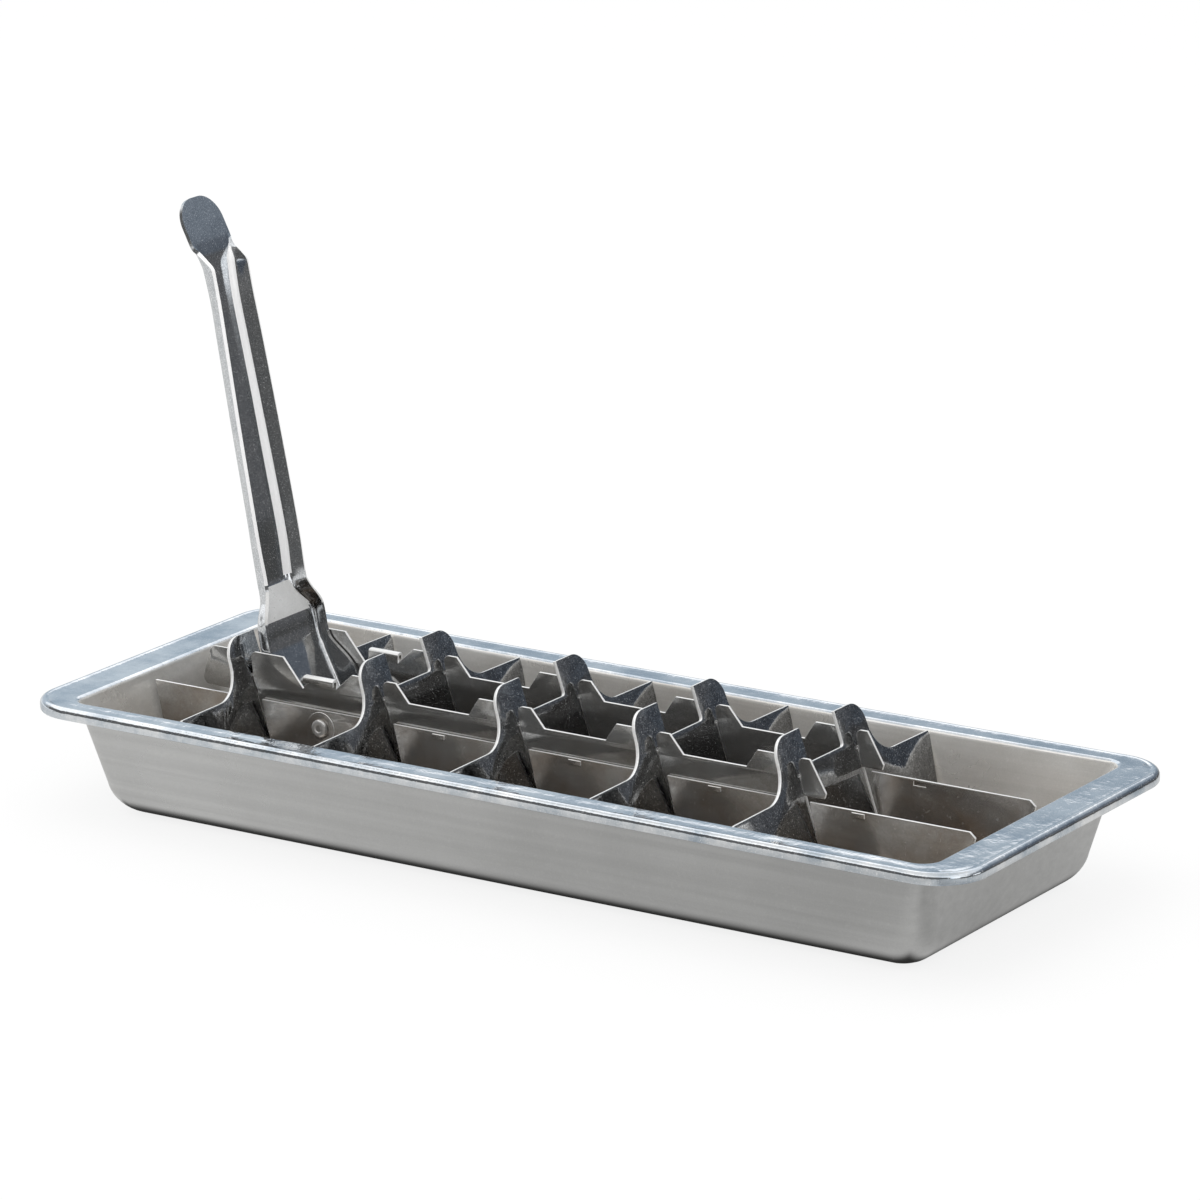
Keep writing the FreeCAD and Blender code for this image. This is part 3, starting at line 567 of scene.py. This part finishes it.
# How fine each mark is unless a steel sets it (a higher number is finer), and the noise behind
# each mark: detail, roughness and the band of its values that is drawn out to the full range.
MARK_SIZES = {"Stain Size": 60.0, "Speck Size": 900.0, "Streak Along X": 40.0,
              "Streak Along Z": 1500.0, "Grain Size": 2600.0}
STREAK_ALONG_Y = 300.0
MARK_NOISE = {"Stains": (5.0, 0.62, 0.36, 0.66), "Specks": (3.0, 0.6, 0.60, 0.70),
              "Streaks": (2.0, 0.5, 0.3, 0.7), "Grain": (2.0, 0.5, 0.3, 0.7)}


def make_handling_marks():
    """Soft stains, fine specks, rubbed streaks and salt-and-pepper grain on worked steel."""
    tree = bpy.data.node_groups.new("handling_marks", "ShaderNodeTree")
    for name, size in MARK_SIZES.items():
        socket = tree.interface.new_socket(name=name, in_out="INPUT",
                                           socket_type="NodeSocketFloat")
        socket.default_value = size
    for name in MARK_NOISE:
        tree.interface.new_socket(name=name, in_out="OUTPUT", socket_type="NodeSocketFloat")
    nodes, links = tree.nodes, tree.links
    sizes = nodes.new("NodeGroupInput").outputs
    marks = nodes.new("NodeGroupOutput").inputs
    place = nodes.new("ShaderNodeTexCoord").outputs["Object"]
    stretch = nodes.new("ShaderNodeCombineXYZ")
    links.new(sizes["Streak Along X"], stretch.inputs["X"])
    stretch.inputs["Y"].default_value = STREAK_ALONG_Y
    links.new(sizes["Streak Along Z"], stretch.inputs["Z"])
    scaled = nodes.new("ShaderNodeVectorMath")
    scaled.operation = "MULTIPLY"
    links.new(place, scaled.inputs[0])
    links.new(stretch.outputs["Vector"], scaled.inputs[1])

    def draw(mark, vector, size=None):
        detail, roughness, low, high = MARK_NOISE[mark]
        noise = nodes.new("ShaderNodeTexNoise")
        noise.inputs["Scale"].default_value = 1.0
        noise.inputs["Detail"].default_value = detail
        noise.inputs["Roughness"].default_value = roughness
        links.new(vector, noise.inputs["Vector"])
        if size:
            links.new(sizes[size], noise.inputs["Scale"])
        band = remap(nodes, links, noise.outputs["Fac"], low, high)
        links.new(band.outputs["Result"], marks[mark])

    draw("Stains", place, "Stain Size")
    draw("Specks", place, "Speck Size")
    draw("Streaks", scaled.outputs["Vector"])
    draw("Grain", place, "Grain Size")
    return tree


# How much of its metal a speck loses, and the depth of the stains' relief in metres.
SPECK_DULLING = 0.35
RELIEF_DEPTH = 0.0004


def make_steel(name, marks, tones, roughness, sizes, streak=0.1, speck=0.2, grain=0.2, bump=0.05,
               metallic=1.0, shade_and_stain=None):
    """Stainless steel with stains between two tones, specks of a third, rubbed streaks, grain
    and, where asked for, one colour laid in low on the piece and faded out between two heights:
    painted shade, with brown stain in it on some pieces."""
    material, nodes, links = node_tree(name)
    surface = nodes["Principled BSDF"]
    wear = nodes.new("ShaderNodeGroup")
    wear.node_tree = marks
    for size, value in sizes.items():
        wear.inputs[size].default_value = value
    stains, specks = wear.outputs["Stains"], wear.outputs["Specks"]

    def blend(kind, factor, below, above):
        mix = nodes.new("ShaderNodeMix")
        mix.data_type = "RGBA"
        mix.blend_type = kind
        for socket, value in (("Factor", factor), ("A", below), ("B", above)):
            if isinstance(value, (float, tuple)):
                mix.inputs[socket].default_value = (
                    value if isinstance(value, float) else (*value, 1))
            else:
                links.new(value, mix.inputs[socket])
        return mix.outputs["Result"]

    def between(source, low, high):
        return remap(nodes, links, source, 0.0, 1.0, low, high).outputs["Result"]

    clean, stained, flecked = tones
    tone = blend("MIX", stains, clean, stained)
    tone = blend("MULTIPLY", streak, tone, wear.outputs["Streaks"])
    tone = blend("MULTIPLY", grain, tone, wear.outputs["Grain"])
    # Painted shade low on the piece, on some pieces with brown stain in it.
    if shade_and_stain:
        colour, low, high, strength = shade_and_stain
        height = own_place(nodes, links)[3]
        fade = remap(nodes, links, height, low * MM, high * MM, strength, 0.0)
        tone = blend("MIX", fade.outputs["Result"], tone, colour)
    tone = blend("MIX", between(specks, 0.0, speck), tone, flecked)
    links.new(tone, surface.inputs["Base Color"])
    links.new(between(stains, *roughness), surface.inputs["Roughness"])
    links.new(between(specks, metallic, metallic * (1 - SPECK_DULLING * speck)),
              surface.inputs["Metallic"])
    relief = nodes.new("ShaderNodeBump")
    relief.inputs["Strength"].default_value = bump
    relief.inputs["Distance"].default_value = RELIEF_DEPTH
    links.new(stains, relief.inputs["Height"])
    links.new(relief.outputs["Normal"], surface.inputs["Normal"])
    return material


# Steels by place. Tones are clean, stained and flecked. Roughness is that of clean and of
# stained places. Painted shade, with brown stain in it on some pieces, is its colour, the
# heights between which it fades, and its strength.
STEELS = {
    "wall": dict(
        name="satin_pan", roughness=(0.26, 0.36), streak=0.10, grain=0.06,
        tones=((0.64, 0.64, 0.635), (0.58, 0.58, 0.575), (0.68, 0.68, 0.67)),
        sizes={"Stain Size": 14.0, "Streak Along X": 8.0, "Streak Along Z": 500.0}),
    "rim": dict(
        name="polished_rim", roughness=(0.05, 0.12), streak=0.06, grain=0.06, speck=0.8,
        bump=0.28, tones=((0.96, 0.97, 0.98), (0.50, 0.57, 0.64), (1.0, 1.0, 1.0)),
        sizes={"Stain Size": 70.0, "Speck Size": 2400.0}),
    # Pan's inside: a whiter, part-dull copy of the wall steel that paints the light falling in
    # from above; towards its floor a brown tone, partly stain and partly painted shade.
    "inside": dict(
        name="pan_inside_painted_light", roughness=(0.20, 0.32), grain=0.08, metallic=0.45,
        tones=((0.98, 0.97, 0.94), (0.80, 0.77, 0.72), (0.99, 0.98, 0.96)),
        sizes={"Stain Size": 26.0, "Streak Along X": 14.0, "Streak Along Z": 800.0},
        shade_and_stain=((0.42, 0.36, 0.30), 3.0, 16.0, 0.6)),
    # Strips: darker and browner towards their bottoms in the cells, partly brown stain and partly
    # painted shade.
    "strip": dict(
        name="satin_strip", roughness=(0.14, 0.26), streak=0.2, metallic=0.78,
        tones=((0.66, 0.65, 0.63), (0.44, 0.385, 0.33), (0.85, 0.84, 0.82)),
        sizes={"Stain Size": 75.0, "Streak Along X": 60.0, "Streak Along Z": 220.0},
        shade_and_stain=((0.26, 0.19, 0.14), 5.0, 25.0, 0.75)),
    "slider": dict(
        name="toothed_strip", roughness=(0.10, 0.20), streak=0.15, metallic=0.85,
        tones=((0.60, 0.60, 0.59), (0.42, 0.405, 0.38), (0.85, 0.85, 0.84)),
        sizes={"Stain Size": 90.0, "Streak Along X": 50.0, "Streak Along Z": 260.0}),
    # Blades: near black low down, a painted shade where they stand deep in the cells against the
    # strips.
    "blade": dict(
        name="blade_steel_painted_shade", roughness=(0.04, 0.10), streak=0.0, speck=0.9, grain=0.8, bump=0.02,
        tones=((0.62, 0.63, 0.64), (0.40, 0.41, 0.42), (1.0, 1.0, 1.0)),
        sizes={"Stain Size": 420.0, "Speck Size": 2800.0, "Grain Size": 3200.0},
        shade_and_stain=((0.08, 0.07, 0.06), 13.0, 32.0, 0.85)),
    # Cut edges: near white and part dull, a painted highlight along every sheet edge.
    "cut": dict(
        name="cut_edge_painted_highlight", roughness=(0.30, 0.45), metallic=0.35, grain=0.05,
        tones=((0.98, 0.98, 0.97), (0.90, 0.90, 0.89), (1.0, 1.0, 1.0)),
        sizes={"Stain Size": 200.0}),
    # Lever: darker grey towards its foot, a painted shade where it goes down among the strips.
    "lever": dict(
        name="polished_lever", roughness=(0.05, 0.11), streak=0.0, grain=0.35, speck=0.6,
        bump=0.008, tones=((0.88, 0.90, 0.92), (0.72, 0.75, 0.78), (1.0, 1.0, 1.0)),
        sizes={"Stain Size": 300.0, "Speck Size": 2600.0},
        shade_and_stain=((0.44, 0.43, 0.42), 30.0, 52.0, 0.4)),
    # Step: whiter and part dull, a painted highlight on the lever's forward-facing step.
    "step": dict(
        name="step_painted_highlight", roughness=(0.25, 0.35), streak=0.0, grain=0.1, metallic=0.2,
        tones=((0.84, 0.84, 0.83), (0.72, 0.72, 0.71), (0.95, 0.95, 0.95)),
        sizes={"Stain Size": 120.0}),
    # Creases: near white and hardly metallic, a painted highlight along the lever's bends and
    # edges.
    "crease": dict(
        name="crease_painted_highlight", roughness=(0.30, 0.38), streak=0.0, grain=0.03, metallic=0.12,
        tones=((0.99, 0.99, 0.99), (0.97, 0.97, 0.97), (1.0, 1.0, 1.0)),
        sizes={"Stain Size": 120.0}),
    "rivet": dict(
        name="rivet_steel", roughness=(0.14, 0.24), streak=0.0, metallic=0.7,
        tones=((0.96, 0.95, 0.93), (0.74, 0.73, 0.71), (1.0, 1.0, 1.0)),
        sizes={"Stain Size": 300.0}),
}


# ---------------------------------------------------------------- studio


# Table and band of panels, in metres.
TABLE_REACH = 4.0
TABLE_DROP = 0.0002
BAND_SIDES = 96
BAND_RADIUS = 1.7
BAND_HEIGHTS = (-0.02, 2.4)


def stage_piece(name, vertices, faces, finish):
    """Mesh of the studio, linked into the scene."""
    mesh = bpy.data.meshes.new(name)
    mesh.from_pydata(vertices, [], faces)
    mesh.materials.append(finish)
    piece = bpy.data.objects.new(name, mesh)
    bpy.context.scene.collection.objects.link(piece)
    return piece


def make_studio():
    """White floor and a wide band of light and dark panels that only the steel sees."""
    reach = TABLE_REACH
    floor = stage_piece(
        "studio_floor", [(-reach, -reach, 0), (reach, -reach, 0), (reach, reach, 0),
                         (-reach, reach, 0)], [(0, 1, 2, 3)], make_floor_finish())
    floor.location.z = -TABLE_DROP

    count = BAND_SIDES
    turns = [2 * math.pi * i / count for i in range(count)]
    vertices = [(BAND_RADIUS * math.cos(a), BAND_RADIUS * math.sin(a), z)
                for z in BAND_HEIGHTS for a in turns]
    faces = [(i, (i + 1) % count, count + (i + 1) % count, count + i) for i in range(count)]
    band = stage_piece("studio_panels", vertices, faces, make_panel_finish())
    band.visible_camera = False
    band.visible_diffuse = False
    band.visible_shadow = False
    band.visible_transmission = False


# Brightness of the table that the steel sees, by place along it in metres, how far its bands
# are turned off square, and its share of blue. It is darker under the pan, a painted shadow,
# and towards the viewer: a fade is its two ends in metres and what is left of the brightness at
# each.
FLOOR_TONES = [(-0.4, 0.76), (-0.155, 0.74), (-0.035, 0.62), (0.065, 0.56), (0.103, 0.66),
               (0.115, 0.48), (0.15, 0.56), (0.19, 0.68), (0.25, 0.62), (0.34, 0.09), (0.5, 0.08)]
FLOOR_TURN = 0.5
FLOOR_BLUE = 0.99
FOOTPRINT_HALF = (0.1185, 0.0405)
FOOTPRINT_FADE = (0.0, 0.005, 0.06, 1.0)
NEAR_FADE = (-0.55, -0.30, 0.17, 1.0)

# Share of plain white in what the camera sees of the table.
FLOOR_WHITE = 0.84


def make_floor_finish():
    """Pale table: nearly white to the camera, toned for the steel's reflections."""
    material, nodes, links = node_tree("pale_table")
    surface = nodes["Principled BSDF"]
    surface.inputs["Base Color"].default_value = (0.92, 0.92, 0.92, 1)
    surface.inputs["Roughness"].default_value = 0.9
    surface.inputs["Specular IOR Level"].default_value = 0.1

    def calculate(operation, first, second):
        node = nodes.new("ShaderNodeMath")
        node.operation = operation
        for socket, value in zip(node.inputs, (first, second)):
            if isinstance(value, float):
                socket.default_value = value
            else:
                links.new(value, socket)
        return node.outputs["Value"]

    def fade(source, ends):
        node = remap(nodes, links, source, *ends)
        node.interpolation_type = "SMOOTHSTEP"
        return node.outputs["Result"]

    def beyond(source, half):
        return calculate("SUBTRACT", calculate("ABSOLUTE", source, 0.0), half)

    def mix(factor, first, second):
        node = nodes.new("ShaderNodeMixShader")
        links.new(factor, node.inputs["Fac"])
        links.new(first, node.inputs[1])
        links.new(second, node.inputs[2])
        return node.outputs["Shader"]

    x, y = own_place(nodes, links)[1:3]
    start, end = FLOOR_TONES[0][0], FLOOR_TONES[-1][0]
    along = remap(nodes, links, calculate("ADD", x, calculate("MULTIPLY", y, FLOOR_TURN)),
                  start, end)
    ramp = nodes.new("ShaderNodeValToRGB")
    set_stops(ramp, [((at - start) / (end - start), (v, v, v * FLOOR_BLUE))
                     for at, v in FLOOR_TONES])
    links.new(along.outputs["Result"], ramp.inputs["Fac"])
    # Painted shadow under the pan's footprint on the table that the steel sees.
    outside = calculate("MAXIMUM", beyond(x, FOOTPRINT_HALF[0]), beyond(y, FOOTPRINT_HALF[1]))
    glow = nodes.new("ShaderNodeEmission")
    links.new(ramp.outputs["Color"], glow.inputs["Color"])
    links.new(calculate("MULTIPLY", fade(outside, FOOTPRINT_FADE), fade(y, NEAR_FADE)),
              glow.inputs["Strength"])
    white = nodes.new("ShaderNodeEmission")
    ray = nodes.new("ShaderNodeLightPath").outputs
    lit = mix(calculate("MULTIPLY", ray["Is Camera Ray"], FLOOR_WHITE), surface.outputs["BSDF"],
              white.outputs["Emission"])
    seen = mix(ray["Is Glossy Ray"], lit, glow.outputs["Emission"])
    links.new(seen, nodes["Material Output"].inputs["Surface"])
    return material


def set_stops(ramp, stops):
    """Give a colour ramp its places and colours."""
    band = ramp.color_ramp
    while len(band.elements) > 1:
        band.elements.remove(band.elements[-1])
    band.elements[0].position = stops[0][0]
    band.elements[0].color = (*stops[0][1], 1)
    for position, colour in stops[1:]:
        element = band.elements.new(position)
        element.color = (*colour, 1)


# Brightness round the studio, by direction in degrees from +X towards +Y, in four belts, and the
# heights in metres between which each higher belt takes over from the one below.
PANELS = {
    "low": [(-180, (1.20, 1.20, 1.20)), (-150, (0.90, 0.90, 0.90)), (-142, (0.14, 0.14, 0.14)),
            (-90, (0.16, 0.16, 0.16)), (-38, (0.16, 0.155, 0.15)), (-30, (1.50, 1.50, 1.50)),
            (-16, (1.50, 1.50, 1.50)), (-12, (0.14, 0.14, 0.14)), (13, (0.14, 0.14, 0.14)),
            (17, (1.50, 1.50, 1.50)), (25, (1.50, 1.50, 1.50)), (34, (0.13, 0.13, 0.133)),
            (85, (0.12, 0.123, 0.13)), (105, (0.50, 0.53, 0.56)), (140, (0.75, 0.78, 0.80)),
            (180, (1.20, 1.20, 1.20))],
    "middle": [(-180, (0.60, 0.60, 0.60)), (-165, (0.14, 0.14, 0.14)), (-95, (0.12, 0.12, 0.12)),
               (-38, (0.16, 0.16, 0.16)), (-28, (1.50, 1.50, 1.50)), (-10, (1.50, 1.50, 1.50)),
               (10, (0.30, 0.30, 0.31)), (50, (0.125, 0.14, 0.165)), (90, (0.16, 0.19, 0.23)),
               (110, (0.36, 0.43, 0.50)), (135, (0.56, 0.64, 0.71)), (160, (0.70, 0.75, 0.80)),
               (180, (0.60, 0.60, 0.60))],
    "upper": [(-180, (0.60, 0.60, 0.60)), (-165, (0.14, 0.14, 0.14)), (-95, (0.12, 0.12, 0.12)),
              (-60, (0.60, 0.60, 0.60)), (-30, (1.40, 1.40, 1.40)), (10, (0.80, 0.80, 0.80)),
              (50, (0.20, 0.23, 0.27)), (85, (0.36, 0.41, 0.47)), (110, (1.20, 1.22, 1.25)),
              (160, (1.40, 1.40, 1.40)), (180, (0.60, 0.60, 0.60))],
    "high": [(-180, (1.30, 1.30, 1.30)), (-60, (1.10, 1.10, 1.10)), (-20, (1.20, 1.20, 1.20)),
             (60, (0.90, 0.92, 0.95)), (120, (1.30, 1.32, 1.35)), (180, (1.30, 1.30, 1.30))],
}
BELTS = (("middle", 0.20, 0.30), ("upper", 0.66, 0.86), ("high", 1.20, 1.35))


def make_panel_finish():
    """Glow of the panels round the studio."""
    material, nodes, links = node_tree("studio_panels")
    nodes.remove(nodes["Principled BSDF"])
    x, y, z = own_place(nodes, links)[1:]
    turn = nodes.new("ShaderNodeMath")
    turn.operation = "ARCTAN2"
    links.new(y, turn.inputs[0])
    links.new(x, turn.inputs[1])
    share = remap(nodes, links, turn.outputs["Value"], -math.pi, math.pi)

    def belt(name):
        ramp = nodes.new("ShaderNodeValToRGB")
        set_stops(ramp, [((angle + 180) / 360, colour) for angle, colour in PANELS[name]])
        links.new(share.outputs["Result"], ramp.inputs["Fac"])
        return ramp.outputs["Color"]

    seen = belt("low")
    for name, low, high in BELTS:
        mix = nodes.new("ShaderNodeMix")
        mix.data_type = "RGBA"
        links.new(remap(nodes, links, z, low, high).outputs["Result"], mix.inputs["Factor"])
        links.new(seen, mix.inputs["A"])
        links.new(belt(name), mix.inputs["B"])
        seen = mix.outputs["Result"]
    glow = nodes.new("ShaderNodeEmission")
    links.new(seen, glow.inputs["Color"])
    links.new(glow.outputs["Emission"], nodes["Material Output"].inputs["Surface"])
    return material


# Strength of the white room, as light on dull surfaces and as seen in the steel.
ROOM_LIGHT = 0.95
ROOM_GLOSS = 0.85


def make_world():
    """White room, plain white to the camera and toned down for the tray."""
    world = bpy.data.worlds.new("white_room")
    bpy.context.scene.world = world
    world.use_nodes = True
    nodes, links = world.node_tree.nodes, world.node_tree.links
    path = nodes.new("ShaderNodeLightPath")
    background = nodes["Background"]
    background.inputs["Color"].default_value = (1, 1, 1, 1)
    background.inputs["Strength"].default_value = ROOM_LIGHT
    gloss = nodes.new("ShaderNodeBackground")
    gloss.inputs["Color"].default_value = (1, 1, 1, 1)
    gloss.inputs["Strength"].default_value = ROOM_GLOSS
    steel = nodes.new("ShaderNodeMixShader")
    links.new(path.outputs["Is Glossy Ray"], steel.inputs["Fac"])
    links.new(background.outputs["Background"], steel.inputs[1])
    links.new(gloss.outputs["Background"], steel.inputs[2])
    white = nodes.new("ShaderNodeBackground")
    white.inputs["Strength"].default_value = 1.0
    seen = nodes.new("ShaderNodeMath")
    seen.operation = "MAXIMUM"
    links.new(path.outputs["Is Camera Ray"], seen.inputs[0])
    links.new(path.outputs["Is Transmission Ray"], seen.inputs[1])
    mix = nodes.new("ShaderNodeMixShader")
    links.new(seen.outputs["Value"], mix.inputs["Fac"])
    links.new(steel.outputs["Shader"], mix.inputs[1])
    links.new(white.outputs["Background"], mix.inputs[2])
    links.new(mix.outputs["Shader"], nodes["World Output"].inputs["Surface"])


def add_softbox(name, place, aim, size, power):
    """Soft rectangular lamp that lights the tray and isn't mirrored in it."""
    data = bpy.data.lights.new(name, "AREA")
    data.shape = "RECTANGLE"
    data.size, data.size_y = size
    data.energy = power
    lamp = bpy.data.objects.new(name, data)
    lamp.location = place
    lamp.rotation_euler = (Vector(aim) - Vector(place)).to_track_quat("-Z", "Y").to_euler()
    lamp.visible_glossy = False
    bpy.context.scene.collection.objects.link(lamp)


def make_camera():
    """Camera of the product view."""
    a, e, r = VIEW_AZIMUTH, VIEW_ELEVATION, VIEW_ROLL
    back = Vector((math.sin(a) * math.cos(e), -math.cos(a) * math.cos(e), math.sin(e)))
    level = Vector((math.cos(a), math.sin(a), 0))
    rise = back.cross(level)
    right = level * math.cos(r) + rise * math.sin(r)
    up = rise * math.cos(r) - level * math.sin(r)
    place = VIEW_TARGET + back * VIEW_DISTANCE + right * VIEW_OFFSET[0] + up * VIEW_OFFSET[1]
    data = bpy.data.cameras.new("product_camera")
    data.lens = LENS
    data.sensor_width = SENSOR
    data.clip_end = 20.0
    camera = bpy.data.objects.new("product_camera", data)
    turn = Matrix((right, up, back)).transposed().to_4x4()
    camera.matrix_world = Matrix.Translation(place * MM) @ turn
    bpy.context.scene.collection.objects.link(camera)
    bpy.context.scene.camera = camera


# ---------------------------------------------------------------- build


def build_grid(finish):
    """Strips, blades and rivets."""
    leaning = Vector((math.cos(BLADE_LEAN), 0, math.sin(BLADE_LEAN)))
    sideways = Vector((0, 1, 0))
    for name in ("front", "back"):
        sheet_from_cad(name + "_lower_strip", "grid_frame", finish["strip"],
                       finish["cut"], sideways, STRIP_EDGE)
        sheet_from_cad(name + "_upper_strip", name + "_slider", finish["slider"],
                       finish["cut"], sideways, TOOTHED_EDGE)
        sheet_from_cad(name + "_rivet", "grid_frame", finish["rivet"],
                       finish["rivet"], sideways, RIVET_EDGE)
    for number in range(1, BLADE_COUNT + 1):
        node = "blade_%d" % number
        sheet_from_cad(node, node + "_body", finish["blade"], finish["cut"],
                       leaning, BLADE_EDGE)


marks = make_handling_marks()
finish = {place: make_steel(marks=marks, **steel) for place, steel in STEELS.items()}
build_pan([finish["wall"], finish["rim"], finish["inside"]])
build_lever([finish["lever"], finish["step"], finish["crease"]])
build_cheeks(finish["lever"])
build_grid(finish)

make_studio()
make_world()
add_softbox("overhead", place=(-0.2, -0.3, 1.8), aim=(0, 0, 0), size=(2.0, 2.0), power=12.0)
make_camera()
bpy.context.scene.view_settings.view_transform = "Standard"
